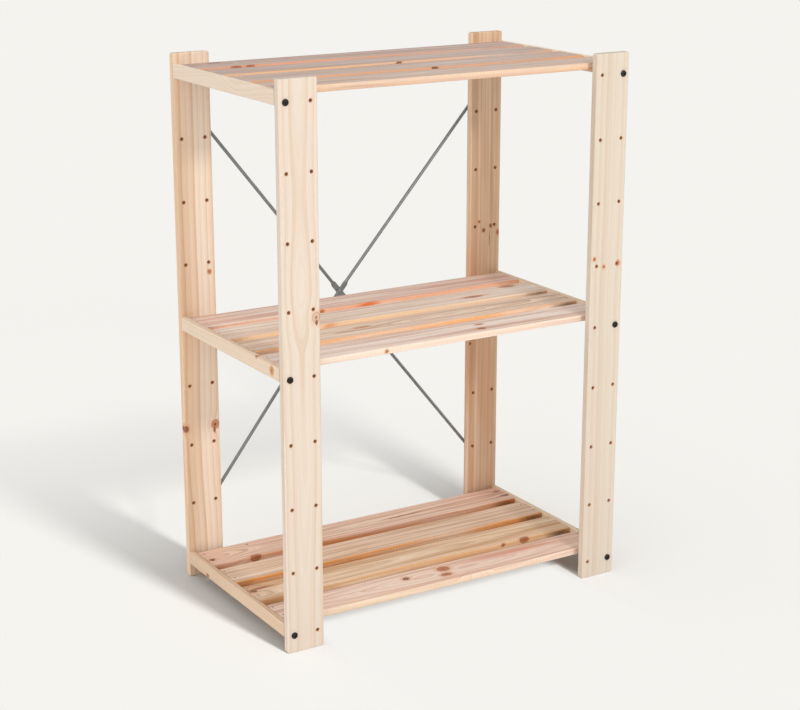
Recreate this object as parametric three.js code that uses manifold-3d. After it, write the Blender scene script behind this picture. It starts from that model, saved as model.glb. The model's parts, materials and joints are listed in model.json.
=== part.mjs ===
// Slatted pine rack for bread crates: four drilled posts, three shelves of slats on rebated rails,
// bolted through the posts, with a cross of steel rods behind.
// Millimetres, +Z up. The front faces -Y, and the rack stands on Z = 0 with the origin under its middle.

import * as THREE from 'three';
import { mergeVertices } from 'three/addons/utils/BufferGeometryUtils.js';
import loadManifold from 'manifold-3d';

// Overall
const RACK_WIDTH = 780;
const POST_FACE_SPACING = 441.5; // front face of a front post to front face of a rear post
const GAP = 0.3; // left between pieces that touch

// Posts and their grid of bolt holes
const POST_WIDTH = 79;
const POST_THICKNESS = 16;
const POST_EASING = 2.5; // rounding of the long edges
const POST_CORNER_RADIUS = 4; // rounding of the outline's corners
const HOLE_ROWS = 9;
const HOLE_PITCH = 128;
const HOLE_COLUMN_SPACING = 51;
const HOLE_DIAMETER = 7;
const BOTTOM_MARGIN = 36; // floor to the lowest hole row
const TOP_MARGIN = 42; // highest hole row to the post's top

// Shelves, by the hole row that carries them
const SHELF_ROWS = { bottom: 0, middle: 4, top: 8 };

// Rails, with a rebate along the inner top edge that holds the slat ends
const RAIL_WIDTH = 27;
const RAIL_HEIGHT = 28;
const RAIL_BELOW_BOLT = 6.5; // rail's underside to the bolt's axis
const RAIL_EASING = 1.5;
const LIP_WIDTH = 11; // wood left standing outside the rebate

// Slats
const SLATS_PER_SHELF = 4;
const SLAT_WIDTH = 81;
const SLAT_THICKNESS = 13.5;
const SLAT_SPACE = 24.5; // open space between neighbours
const SLAT_EASING = 2;

// Button-head bolts and the barrel nuts that they pull on
const BOLT_DIAMETER = 6;
const BOLT_LENGTH = 58; // under the head
const BOLT_TIP_CHAMFER = 0.8;
const BOLT_HEAD_DIAMETER = 13;
const BOLT_HEAD_HEIGHT = 3.6;
const BOLT_HEAD_RIM = 0.8; // straight band below the dome
const BOLT_CROWN_DIAMETER = 6.4; // flat round the socket
const SOCKET_ACROSS_FLATS = 4;
const SOCKET_DEPTH = 2.2;
const BOLT_HOLE_OVERRUN = 4; // drilled past the bolt's tip
const NUT_DIAMETER = 10;
const NUT_LENGTH = 12;
const NUT_SETBACK = 34; // rail's end to the nut's axis
const NUT_SLOT_WIDTH = 1.4;
const NUT_SLOT_DEPTH = 1;
const NUT_POCKET_SPARE = 0.5; // depth left above the nut

// Cross-brace of two rods behind the rear posts, each pressed flat at its ends and where they cross
const ROD_DIAMETER = 7;
const ROD_SIDES = 12;
const CROSSING = { x: -10, z: 570 };
const FIXING_HEIGHTS = { upper_left: 996, upper_right: 981, lower_left: 127, lower_right: 128 };
const EYE_WIDTH = 14;
const EYE_THICKNESS = 3;
const EYE_TAPER = 12; // length over which an eye becomes round
const PRESS_WIDTH = 12.5;
const PRESS_THICKNESS = 3.2;
const PRESS_LENGTH = 40; // flat stretch at the crossing
const PRESS_TAPER = 9;
const PRESSED_SQUARENESS = 0.45; // 1 is an ellipse, less is squarer
const RIVET_DIAMETER = 5;
const RIVET_HEAD_DIAMETER = 10;
const RIVET_HEAD_HEIGHT = 2;
const RIVET_CROWN_DIAMETER = 3;
const SCREW_DIAMETER = 4.2;
const SCREW_HEAD_DIAMETER = 9;
const SCREW_HEAD_HEIGHT = 2.6;
const SCREW_CROWN_DIAMETER = 5;
const SCREW_GRIP = 12; // length held in the post

// Facets on round pieces
const HOLE_SIDES = 10;
const TURNED_SIDES = 12;
const DOME_STEPS = 3;
const CORNER_STEPS = 3;
const EASING_STEPS = 2;

// Worked out from the above
const POST_HEIGHT = BOTTOM_MARGIN + (HOLE_ROWS - 1) * HOLE_PITCH + TOP_MARGIN;
const POST_X = (RACK_WIDTH - POST_WIDTH) / 2;
const BOLT_X = POST_X + HOLE_COLUMN_SPACING / 2;
const RAIL_START = POST_THICKNESS + GAP;
const RAIL_LENGTH = POST_FACE_SPACING - POST_THICKNESS - 2 * GAP;
const LEDGE_HEIGHT = RAIL_HEIGHT - SLAT_THICKNESS - GAP;
const SLAT_LENGTH = RACK_WIDTH - 2 * (LIP_WIDTH + GAP);
const SLAT_STEP = SLAT_WIDTH + SLAT_SPACE;
const POST_BACK = POST_FACE_SPACING + POST_THICKNESS;
const ROD_RADIUS = ROD_DIAMETER / 2;
const ROD_Y = POST_BACK + GAP + ROD_RADIUS;
const EYE_BACK = POST_BACK + GAP + EYE_THICKNESS;
const PRESS_OFFSET = (PRESS_THICKNESS + GAP) / 2; // each pressed flat stands off the brace's middle plane
const RIVET_GRIP = 2 * PRESS_THICKNESS + 3 * GAP; // between the rivet's heads
const FRONT_MOST = -GAP - BOLT_HEAD_HEIGHT;
const REAR_MOST = ROD_Y + RIVET_GRIP / 2 + RIVET_HEAD_HEIGHT;

const X_AXIS = new THREE.Vector3(1, 0, 0);
const Y_AXIS = new THREE.Vector3(0, 1, 0);
const Z_AXIS = new THREE.Vector3(0, 0, 1);

const manifold = await loadManifold();
manifold.setup();

// Turns a closed geometry into a solid that can be cut.
function solid(geometry) {
  const bare = geometry.clone();
  bare.deleteAttribute('normal');
  bare.deleteAttribute('uv');
  const merged = mergeVertices(bare);
  return new manifold.Manifold(new manifold.Mesh({
    numProp: 3,
    vertProperties: new Float32Array(merged.attributes.position.array),
    triVerts: new Uint32Array(merged.index.array),
  }));
}

// Cuts each tool out of a geometry.
function cut(geometry, tools) {
  let body = solid(geometry);
  for (const tool of tools) {
    body = body.subtract(solid(tool));
  }
  const mesh = body.getMesh();
  const result = new THREE.BufferGeometry();
  result.setAttribute('position', new THREE.BufferAttribute(mesh.vertProperties, 3));
  result.setIndex(new THREE.BufferAttribute(mesh.triVerts, 1));
  result.computeVertexNormals();
  return result;
}

// Straight round cutter along Y from one depth to another.
function drill(diameter, x, z, from, to) {
  const tool = new THREE.CylinderGeometry(diameter / 2, diameter / 2, to - from, HOLE_SIDES);
  tool.translate(x, (from + to) / 2, z);
  return tool;
}

// Turned piece about Y from a profile of [radius, height] points that starts and ends on the axis.
function turned(profile) {
  const points = profile.map(([radius, height]) => new THREE.Vector2(radius, height));
  return new THREE.LatheGeometry(points, TURNED_SIDES);
}

// Profile points of a shallow dome that rises from a rim to a small flat crown.
function dome(rimRadius, rimHeight, crownRadius, crownHeight) {
  const points = [];
  for (let step = 0; step <= DOME_STEPS; step += 1) {
    const angle = (step / DOME_STEPS) * (Math.PI / 2);
    const radius = crownRadius + (rimRadius - crownRadius) * Math.cos(angle);
    points.push([radius, rimHeight + (crownHeight - rimHeight) * Math.sin(angle)]);
  }
  points.push([0, crownHeight]);
  return points;
}

// Straight bar of one section, its length along the section's normal.
function straightBar(section, length) {
  return new THREE.ExtrudeGeometry(section, { depth: length, bevelEnabled: false, curveSegments: CORNER_STEPS });
}

function roundedRectangle(left, bottom, right, top, radius) {
  const shape = new THREE.Shape();
  shape.absarc(right - radius, bottom + radius, radius, -Math.PI / 2, 0);
  shape.absarc(right - radius, top - radius, radius, 0, Math.PI / 2);
  shape.absarc(left + radius, top - radius, radius, Math.PI / 2, Math.PI);
  shape.absarc(left + radius, bottom + radius, radius, Math.PI, 1.5 * Math.PI);
  return shape;
}

// Post standing on Z = 0 with its front face at Y = 0, drilled through, with blind screw holes in its back.
function postGeometry(screwHeights) {
  const outline = roundedRectangle(-POST_WIDTH / 2, 0, POST_WIDTH / 2, POST_HEIGHT, POST_CORNER_RADIUS);
  const board = new THREE.ExtrudeGeometry(outline, {
    depth: POST_THICKNESS - 2 * POST_EASING,
    bevelThickness: POST_EASING,
    bevelSize: POST_EASING,
    bevelOffset: -POST_EASING,
    bevelSegments: EASING_STEPS,
    curveSegments: CORNER_STEPS,
  });
  board.applyMatrix4(new THREE.Matrix4().makeBasis(X_AXIS, Z_AXIS, Y_AXIS.clone().negate()));
  board.translate(0, POST_THICKNESS - POST_EASING, 0);
  const tools = [];
  for (let row = 0; row < HOLE_ROWS; row += 1) {
    for (const column of [-HOLE_COLUMN_SPACING / 2, HOLE_COLUMN_SPACING / 2]) {
      tools.push(drill(HOLE_DIAMETER, column, BOTTOM_MARGIN + row * HOLE_PITCH, -1, POST_THICKNESS + 1));
    }
  }
  for (const height of screwHeights) {
    const depth = SCREW_GRIP + GAP;
    tools.push(drill(SCREW_DIAMETER + 2 * GAP, 0, height, POST_THICKNESS - depth, POST_THICKNESS + 1));
  }
  return cut(board, tools);
}

// Right-hand rail: outer face at X = 0, underside at Z = 0, front end at Y = 0.
function railGeometry() {
  const ease = RAIL_EASING;
  const section = new THREE.Shape();
  section.absarc(-ease, ease, ease, -Math.PI / 2, 0);
  section.absarc(-ease, RAIL_HEIGHT - ease, ease, 0, Math.PI / 2);
  section.lineTo(-LIP_WIDTH, RAIL_HEIGHT);
  section.lineTo(-LIP_WIDTH, LEDGE_HEIGHT);
  section.absarc(-RAIL_WIDTH + ease, LEDGE_HEIGHT - ease, ease, Math.PI / 2, Math.PI);
  section.absarc(-RAIL_WIDTH + ease, ease, ease, Math.PI, 1.5 * Math.PI);
  const bar = straightBar(section, RAIL_LENGTH);
  bar.applyMatrix4(new THREE.Matrix4().makeBasis(X_AXIS, Z_AXIS, Y_AXIS.clone().negate()));
  bar.translate(0, RAIL_LENGTH, 0);

  const axisX = BOLT_X - RACK_WIDTH / 2;
  const boltDepth = BOLT_LENGTH - RAIL_START + BOLT_HOLE_OVERRUN;
  const pocketDepth = RAIL_BELOW_BOLT + NUT_LENGTH / 2 + NUT_POCKET_SPARE;
  const tools = [
    drill(HOLE_DIAMETER, axisX, RAIL_BELOW_BOLT, -1, boltDepth),
    drill(HOLE_DIAMETER, axisX, RAIL_BELOW_BOLT, RAIL_LENGTH - boltDepth, RAIL_LENGTH + 1),
  ];
  for (const setback of [NUT_SETBACK, RAIL_LENGTH - NUT_SETBACK]) {
    const pocket = drill(NUT_DIAMETER + 2 * GAP, 0, 0, -1, pocketDepth);
    pocket.rotateX(Math.PI / 2);
    pocket.translate(axisX, setback, 0);
    tools.push(pocket);
  }
  return cut(bar, tools);
}

// Slat along X with its underside at Z = 0 and its middle at the origin.
function slatGeometry() {
  const section = roundedRectangle(-SLAT_WIDTH / 2, 0, SLAT_WIDTH / 2, SLAT_THICKNESS, SLAT_EASING);
  const board = straightBar(section, SLAT_LENGTH);
  board.applyMatrix4(new THREE.Matrix4().makeBasis(Y_AXIS, Z_AXIS, X_AXIS));
  board.translate(-SLAT_LENGTH / 2, 0, 0);
  return board;
}

// Bolt that points along -Y, with the face that its head bears on at Y = 0.
function boltGeometry() {
  const radius = BOLT_DIAMETER / 2;
  const headRadius = BOLT_HEAD_DIAMETER / 2;
  const crown = GAP + BOLT_HEAD_HEIGHT;
  const blank = turned([
    [0, -BOLT_LENGTH],
    [radius - BOLT_TIP_CHAMFER, -BOLT_LENGTH],
    [radius, -BOLT_LENGTH + BOLT_TIP_CHAMFER],
    [radius, GAP],
    [headRadius, GAP],
    ...dome(headRadius, GAP + BOLT_HEAD_RIM, BOLT_CROWN_DIAMETER / 2, crown),
  ]);
  const socketRadius = SOCKET_ACROSS_FLATS / Math.sqrt(3);
  const socket = new THREE.CylinderGeometry(socketRadius, socketRadius, 2 * SOCKET_DEPTH, 6);
  socket.translate(0, crown, 0);
  return cut(blank, [socket]);
}

// Barrel nut standing on Z = 0, bored across along Y and slotted in its lower end.
function nutGeometry() {
  const barrel = new THREE.CylinderGeometry(NUT_DIAMETER / 2, NUT_DIAMETER / 2, NUT_LENGTH, TURNED_SIDES);
  barrel.rotateX(Math.PI / 2);
  barrel.translate(0, 0, NUT_LENGTH / 2);
  const bore = drill(BOLT_DIAMETER + 2 * GAP, 0, NUT_LENGTH / 2, -NUT_DIAMETER, NUT_DIAMETER);
  const slot = new THREE.BoxGeometry(NUT_SLOT_WIDTH, 2 * NUT_DIAMETER, 2 * NUT_SLOT_DEPTH);
  return cut(barrel, [bore, slot]);
}

// Closed skin through rings that have the same number of points, each ring turning the same way.
function loft(rings) {
  const sides = rings[0].length;
  const last = rings.length - 1;
  const positions = rings.flat().flatMap((point) => point.toArray());
  const index = [];
  for (let ring = 0; ring < last; ring += 1) {
    for (let side = 0; side < sides; side += 1) {
      const next = (side + 1) % sides;
      const here = ring * sides;
      const ahead = here + sides;
      index.push(here + side, here + next, ahead + next);
      index.push(here + side, ahead + next, ahead + side);
    }
  }
  for (let side = 1; side < sides - 1; side += 1) {
    index.push(0, side + 1, side);
    index.push(last * sides, last * sides + side, last * sides + side + 1);
  }
  const geometry = new THREE.BufferGeometry();
  geometry.setAttribute('position', new THREE.Float32BufferAttribute(positions, 3));
  geometry.setIndex(index);
  return geometry;
}

// One section of a rod: an ellipse that gets squarer as the rod is pressed flat.
function rodRing(centre, direction, halfWidth, halfThickness, squareness) {
  const across = new THREE.Vector3(direction.z, 0, -direction.x);
  const flatten = (value) => Math.sign(value) * Math.abs(value) ** squareness;
  const ring = [];
  for (let side = 0; side < ROD_SIDES; side += 1) {
    const angle = ((side + 0.5) / ROD_SIDES) * 2 * Math.PI;
    const point = centre.clone();
    point.addScaledVector(across, halfWidth * flatten(Math.cos(angle)));
    point.addScaledVector(Y_AXIS, halfThickness * flatten(Math.sin(angle)));
    ring.push(point);
  }
  return ring;
}

// Rings of half a rod, from the rounded tip of its eye to the near end of the pressed crossing.
function halfRodRings(fixing, crossing, pressOffset, travel) {
  const direction = crossing.clone().sub(fixing).normalize();
  const length = crossing.distanceTo(fixing);
  const eyeRadius = EYE_WIDTH / 2;
  const eyeOffset = EYE_THICKNESS / 2 - ROD_RADIUS;
  const eyeEnd = eyeRadius;
  const pressStart = length - PRESS_LENGTH / 2;
  const ringAt = (distance, halfWidth, halfThickness, offset, squareness) => {
    const centre = fixing.clone().addScaledVector(direction, distance).addScaledVector(Y_AXIS, offset);
    return rodRing(centre, direction.clone().multiplyScalar(travel), halfWidth, halfThickness, squareness);
  };
  const rings = [];
  for (const angle of [75, 45, 15]) {
    const turn = THREE.MathUtils.degToRad(angle);
    const width = eyeRadius * Math.cos(turn);
    rings.push(ringAt(-eyeRadius * Math.sin(turn), width, EYE_THICKNESS / 2, eyeOffset, PRESSED_SQUARENESS));
  }
  rings.push(ringAt(eyeEnd, eyeRadius, EYE_THICKNESS / 2, eyeOffset, PRESSED_SQUARENESS));
  rings.push(ringAt(eyeEnd + EYE_TAPER, ROD_RADIUS, ROD_RADIUS, 0, 1));
  rings.push(ringAt(pressStart - PRESS_TAPER, ROD_RADIUS, ROD_RADIUS, 0, 1));
  rings.push(ringAt(pressStart, PRESS_WIDTH / 2, PRESS_THICKNESS / 2, pressOffset, PRESSED_SQUARENESS));
  return rings;
}

// Rod from an upper fixing to a lower one, bent a little where it is pressed and riveted.
function rodGeometry(upper, lower, pressOffset) {
  const crossing = new THREE.Vector3(CROSSING.x, ROD_Y, CROSSING.z);
  const rings = [
    ...halfRodRings(upper, crossing, pressOffset, 1),
    ...halfRodRings(lower, crossing, pressOffset, -1).reverse(),
  ];
  const eyeBore = SCREW_DIAMETER + 2 * GAP;
  const rivetBore = RIVET_DIAMETER + 2 * GAP;
  const reach = [ROD_Y - ROD_DIAMETER, ROD_Y + ROD_DIAMETER];
  return cut(loft(rings), [
    drill(eyeBore, upper.x, upper.z, ...reach),
    drill(eyeBore, lower.x, lower.z, ...reach),
    drill(rivetBore, CROSSING.x, CROSSING.z, ...reach),
  ]);
}

// Rivet along Y with a domed head at each end, its middle at the origin.
function rivetGeometry() {
  const radius = RIVET_DIAMETER / 2;
  const headRadius = RIVET_HEAD_DIAMETER / 2;
  const seat = RIVET_GRIP / 2;
  const rearHead = dome(headRadius, seat, RIVET_CROWN_DIAMETER / 2, seat + RIVET_HEAD_HEIGHT);
  const frontHead = rearHead.map(([across, along]) => [across, -along]).reverse();
  return turned([...frontHead, [radius, -seat], [radius, seat], ...rearHead]);
}

// Pan-head screw that points along -Y, with the eye's back face at Y = 0.
function screwGeometry() {
  const radius = SCREW_DIAMETER / 2;
  const headRadius = SCREW_HEAD_DIAMETER / 2;
  const tip = -EYE_THICKNESS - GAP - SCREW_GRIP;
  return turned([
    [0, tip],
    [radius, tip + SCREW_DIAMETER],
    [radius, GAP],
    [headRadius, GAP],
    ...dome(headRadius, GAP + SCREW_HEAD_HEIGHT / 3, SCREW_CROWN_DIAMETER / 2, GAP + SCREW_HEAD_HEIGHT),
  ]);
}

const FINISHES = {
  post: { color: 0xe8d3b4, roughness: 0.62, metalness: 0 },
  rail: { color: 0xe6cda6, roughness: 0.62, metalness: 0 },
  slat: { color: 0xddc0a4, roughness: 0.66, metalness: 0 },
  bolt: { color: 0x2a2622, roughness: 0.38, metalness: 0.8 },
  nut: { color: 0xb9bcbc, roughness: 0.35, metalness: 0.9 },
  rod: { color: 0x8b8d8e, roughness: 0.36, metalness: 0.9 },
};

const rack = new THREE.Group();
rack.name = 'rack';
rack.position.y = -(FRONT_MOST + REAR_MOST) / 2;

function place(name, geometry, finish, x, y, z, turn = 0) {
  const mesh = new THREE.Mesh(geometry, new THREE.MeshStandardMaterial(FINISHES[finish]));
  mesh.name = name;
  mesh.position.set(x, y, z);
  mesh.rotation.z = turn;
  rack.add(mesh);
}

const SIDES = { left: -1, right: 1 };

// Posts
for (const [side, sign] of Object.entries(SIDES)) {
  const screwHeights = [FIXING_HEIGHTS[`upper_${side}`], FIXING_HEIGHTS[`lower_${side}`]];
  place(`post_front_${side}`, postGeometry([]), 'post', sign * POST_X, 0, 0);
  place(`post_rear_${side}`, postGeometry(screwHeights), 'post', sign * POST_X, POST_FACE_SPACING, 0);
}

// Shelves: a rail at each end, the slats between them, and a bolt with its nut at each corner
for (const [shelf, row] of Object.entries(SHELF_ROWS)) {
  const boltZ = BOTTOM_MARGIN + row * HOLE_PITCH;
  const railZ = boltZ - RAIL_BELOW_BOLT;
  const slatZ = railZ + RAIL_HEIGHT - SLAT_THICKNESS;
  const middleY = RAIL_START + RAIL_LENGTH / 2;
  const nutZ = boltZ - NUT_LENGTH / 2;
  const railX = RACK_WIDTH / 2;
  place(`rail_${shelf}_right`, railGeometry(), 'rail', railX, RAIL_START, railZ);
  place(`rail_${shelf}_left`, railGeometry(), 'rail', -railX, RAIL_START + RAIL_LENGTH, railZ, Math.PI);
  for (let slat = 0; slat < SLATS_PER_SHELF; slat += 1) {
    const slatY = middleY + (slat - (SLATS_PER_SHELF - 1) / 2) * SLAT_STEP;
    place(`slat_${shelf}_${slat + 1}`, slatGeometry(), 'slat', 0, slatY, slatZ);
  }
  for (const [side, sign] of Object.entries(SIDES)) {
    const boltX = sign * BOLT_X;
    const frontNutY = RAIL_START + NUT_SETBACK;
    const rearNutY = RAIL_START + RAIL_LENGTH - NUT_SETBACK;
    place(`bolt_${shelf}_front_${side}`, boltGeometry(), 'bolt', boltX, 0, boltZ, Math.PI);
    place(`bolt_${shelf}_rear_${side}`, boltGeometry(), 'bolt', boltX, POST_BACK, boltZ);
    place(`barrel_nut_${shelf}_front_${side}`, nutGeometry(), 'nut', boltX, frontNutY, nutZ);
    place(`barrel_nut_${shelf}_rear_${side}`, nutGeometry(), 'nut', boltX, rearNutY, nutZ);
  }
}

// Cross-brace: the rod from the upper right passes in front of the other
const fixing = {};
for (const [corner, height] of Object.entries(FIXING_HEIGHTS)) {
  const sign = corner.endsWith('left') ? -1 : 1;
  fixing[corner] = new THREE.Vector3(sign * POST_X, ROD_Y, height);
  place(`brace_screw_${corner}`, screwGeometry(), 'rod', sign * POST_X, EYE_BACK, height);
}
const frontRod = rodGeometry(fixing.upper_right, fixing.lower_left, -PRESS_OFFSET);
const rearRod = rodGeometry(fixing.upper_left, fixing.lower_right, PRESS_OFFSET);
place('brace_rod_front', frontRod, 'rod', 0, 0, 0);
place('brace_rod_rear', rearRod, 'rod', 0, 0, 0);
place('brace_rivet', rivetGeometry(), 'rod', CROSSING.x, ROD_Y, CROSSING.z);

export default rack;
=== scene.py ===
import json
import math
import random

import bmesh
import bpy
from mathutils import Matrix, Vector

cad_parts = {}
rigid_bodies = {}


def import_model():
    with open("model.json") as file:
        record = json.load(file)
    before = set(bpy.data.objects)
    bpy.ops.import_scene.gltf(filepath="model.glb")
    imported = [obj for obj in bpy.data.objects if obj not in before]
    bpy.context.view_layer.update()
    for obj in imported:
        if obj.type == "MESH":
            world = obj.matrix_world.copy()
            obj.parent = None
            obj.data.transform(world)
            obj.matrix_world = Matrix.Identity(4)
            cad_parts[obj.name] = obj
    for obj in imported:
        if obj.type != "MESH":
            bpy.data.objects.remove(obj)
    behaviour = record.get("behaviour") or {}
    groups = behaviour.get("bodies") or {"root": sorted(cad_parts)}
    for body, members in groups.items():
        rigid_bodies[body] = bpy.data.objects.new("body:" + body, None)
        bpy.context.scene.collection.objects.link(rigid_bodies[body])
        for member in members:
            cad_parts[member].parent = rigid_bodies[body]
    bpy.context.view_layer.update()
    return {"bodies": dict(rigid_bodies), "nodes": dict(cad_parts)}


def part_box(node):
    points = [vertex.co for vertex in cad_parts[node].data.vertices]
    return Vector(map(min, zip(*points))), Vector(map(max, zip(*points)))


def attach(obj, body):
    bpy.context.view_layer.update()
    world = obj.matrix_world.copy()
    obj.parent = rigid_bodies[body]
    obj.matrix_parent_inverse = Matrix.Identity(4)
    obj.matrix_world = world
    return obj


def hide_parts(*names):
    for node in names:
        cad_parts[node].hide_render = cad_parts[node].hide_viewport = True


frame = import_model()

mm = 0.001
overshoot = 0.002  # cutters run this far past a face
splay = 0.0004  # and widen by this much outside it
nodes = frame["nodes"]
scene = bpy.context.scene
scene.view_settings.view_transform = "Standard"
for thing in list(bpy.data.objects):
    if thing not in nodes.values() and thing not in frame["bodies"].values():
        bpy.data.objects.remove(thing, do_unlink=True)
print("frame loaded:", len(nodes), "CAD nodes")

# camera, standing where the photograph was taken from

cameraSettings = {
    "place": (-1.8794, -3.0865, 1.5314),
    "azimuth": 31.37,  # degrees to the right of straight ahead
    "tilt": -16.19,
    "lens": 82.29,
}


def setCamera(settings):
    turn = (math.radians(90 + settings["tilt"]), 0, -math.radians(settings["azimuth"]))
    bpy.ops.object.camera_add(location=settings["place"], rotation=turn)
    camera = bpy.context.object
    camera.data.lens = settings["lens"]
    camera.data.sensor_width = 36
    scene.camera = camera
    print("camera set")


setCamera(cameraSettings)

# shader helpers


def tone(code):
    shares = [int(code[k:k + 2], 16) / 255 for k in (0, 2, 4)]
    linear = [s / 12.92 if s <= 0.04045 else ((s + 0.055) / 1.055) ** 2.4 for s in shares]
    return (*linear, 1.0)


class Wire:
    # a node's output that can be used in sums

    def __init__(self, socket):
        self.socket = socket

    def maths(self, operation, first, second=None, third=None):
        tree = self.socket.id_data
        node = tree.nodes.new("ShaderNodeMath")
        node.operation = operation
        for slot, value in enumerate((first, second, third)):
            if isinstance(value, Wire):
                tree.links.new(value.socket, node.inputs[slot])
            elif value is not None:
                node.inputs[slot].default_value = value
        return Wire(node.outputs[0])

    def __add__(self, other):
        return self.maths("ADD", self, other)

    def __radd__(self, other):
        return self.maths("ADD", other, self)

    def __sub__(self, other):
        return self.maths("SUBTRACT", self, other)

    def __rsub__(self, other):
        return self.maths("SUBTRACT", other, self)

    def __mul__(self, other):
        return self.maths("MULTIPLY", self, other)

    def __rmul__(self, other):
        return self.maths("MULTIPLY", other, self)

    def __truediv__(self, other):
        return self.maths("DIVIDE", self, other)

    def __rtruediv__(self, other):
        return self.maths("DIVIDE", other, self)

    def __pow__(self, other):
        return self.maths("POWER", self, other)

    def __abs__(self):
        return self.maths("ABSOLUTE", self)

    def high(self, other):
        return self.maths("MAXIMUM", self, other)


class Finish:
    # one material's nodes

    def __init__(self, name, world=None):
        holder = world or bpy.data.materials.new(name)
        holder.use_nodes = True
        holder.node_tree.nodes.clear()
        self.holder = holder
        self.tree = holder.node_tree

    def node(self, kind, settings=None, inputs=None, out=0):
        made = self.tree.nodes.new(kind)
        for key, value in (settings or {}).items():
            if key == "stops":
                self.fillRamp(made.color_ramp, value)
            else:
                setattr(made, key, value)
        for key, value in (inputs or {}).items():
            if isinstance(value, Wire):
                self.tree.links.new(value.socket, made.inputs[key])
            else:
                made.inputs[key].default_value = value
        return Wire(made.outputs[out]) if made.outputs else None

    def fillRamp(self, ramp, stops):
        ramp.interpolation = "EASE"
        while len(ramp.elements) > 1:
            ramp.elements.remove(ramp.elements[-1])
        for count, (place, shade) in enumerate(stops):
            element = ramp.elements[0] if count == 0 else ramp.elements.new(place)
            element.position = place
            element.color = (shade, shade, shade, 1)

    def ramp(self, value, stops):
        return self.node("ShaderNodeValToRGB", {"stops": stops}, {"Fac": value})

    def smooth(self, value, start, end):
        limits = {"Value": value, "From Min": start, "From Max": end}
        return self.node("ShaderNodeMapRange", {"interpolation_type": "SMOOTHSTEP"}, limits)

    def noise(self, vector, stretch, seed, detail=2.0, rough=0.5, out=0):
        scaled = self.vector("MULTIPLY", vector, stretch)
        inputs = {"Vector": scaled, "W": seed, "Scale": 1.0, "Detail": detail, "Roughness": rough}
        return self.node("ShaderNodeTexNoise", {"noise_dimensions": "4D"}, inputs, out)

    def vector(self, operation, first, second=None, out=0):
        inputs = {0: first} if second is None else {0: first, 1: second}
        return self.node("ShaderNodeVectorMath", {"operation": operation}, inputs, out)

    def mix(self, first, second, share, way="MIX"):
        return self.node("ShaderNodeMix", {"data_type": "RGBA", "blend_type": way},
                         {0: share, 6: first, 7: second}, 2)

    def grey(self, value):
        return self.node("ShaderNodeCombineColor", None, {0: value, 1: value, 2: value})

    def seen(self):
        # 1 to the camera, to gloss and to glass
        rays = self.node("ShaderNodeLightPath").socket.node.outputs
        names = ("Is Camera Ray", "Is Glossy Ray", "Is Transmission Ray")
        camera, gloss, glass = (Wire(rays[name]) for name in names)
        return camera.high(gloss).high(glass)

    def reach(self, vector, spot):
        # how far a point is from a knot or a streak, in its own radii
        size = [mm * s for s in spot["size"]]
        shift = [-mm * p / s for p, s in zip(spot["at"], size)]
        away = self.node("ShaderNodeMapping", {"vector_type": "POINT"},
                         {"Vector": vector, "Scale": [1 / s for s in size], "Location": shift})
        return self.vector("LENGTH", away, out="Value")

    def places(self):
        return self.node("ShaderNodeTexCoord", out="Object")

    def surface(self, inputs):
        shader = self.node("ShaderNodeBsdfPrincipled", None, inputs)
        self.node("ShaderNodeOutputMaterial", None, {"Surface": shader})
        return self.holder


# studio: key lamp in front and to the right, a brighter sky on the left, a pale floor

studioSettings = {
    "background": tone("F4F3EF"),
    "lampPlace": (0.20, -3.93, 2.70),
    "lampAim": (0.0, 0.0, 0.50),
    "lampSize": 0.50,
    "lampPower": 56.0,
    "lampTint": (1.0, 1.0, 1.0),
    "floorPower": 270.0,  # a second lamp in the same place, for the floor alone
    "sky": 0.40,
    "leftSky": 1.12,  # added towards the left
    "leftWay": (-0.88, -0.30, 0.36),
    "floorShade": 0.52,  # what the floor gives back to the rack
    "floorSky": 0.77,  # what the sky gives an open floor
    "footprint": (0.39, 0.2315),
    "shadowReach": 0.62,  # the shadow fades out over this distance from the footprint
    "frontFade": (-0.17, -0.05),  # and here, under the lowest shelf's front edge
    "frontEnds": (0.28, 0.33),
    "floorSize": 90.0,
}


def lampWay(settings):
    return (Vector(settings["lampAim"]) - Vector(settings["lampPlace"])).normalized()


def setLamp(settings, name, power):
    turn = lampWay(settings).to_track_quat("-Z", "Y").to_euler()
    bpy.ops.object.light_add(type="AREA", location=settings["lampPlace"], rotation=turn)
    lamp = bpy.context.object
    lamp.name = name
    lamp.data.shape = "DISK"
    lamp.data.size = settings["lampSize"]
    lamp.data.energy = power
    lamp.data.color = settings["lampTint"]
    return lamp


def setSky(settings):
    # the background colour to the camera and to gloss, plain light to the rest
    world = bpy.data.worlds.new("studioSky")
    scene.world = world
    sky = Finish("studioSky", world)
    seen = sky.seen()
    around = sky.node("ShaderNodeTexCoord", out="Generated")
    leftWay = Vector(settings["leftWay"]).normalized()
    left = sky.vector("DOT_PRODUCT", around, leftWay, out="Value").high(0.0)
    strength = left * settings["leftSky"] + settings["sky"]
    plain = sky.node("ShaderNodeBackground", None, {"Color": (1, 1, 1, 1), "Strength": strength})
    backdrop = sky.node("ShaderNodeBackground", None, {"Color": settings["background"], "Strength": 1.0})
    shown = sky.node("ShaderNodeMixShader", None, {0: seen, 1: plain, 2: backdrop})
    sky.node("ShaderNodeOutputWorld", None, {"Surface": shown})


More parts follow.
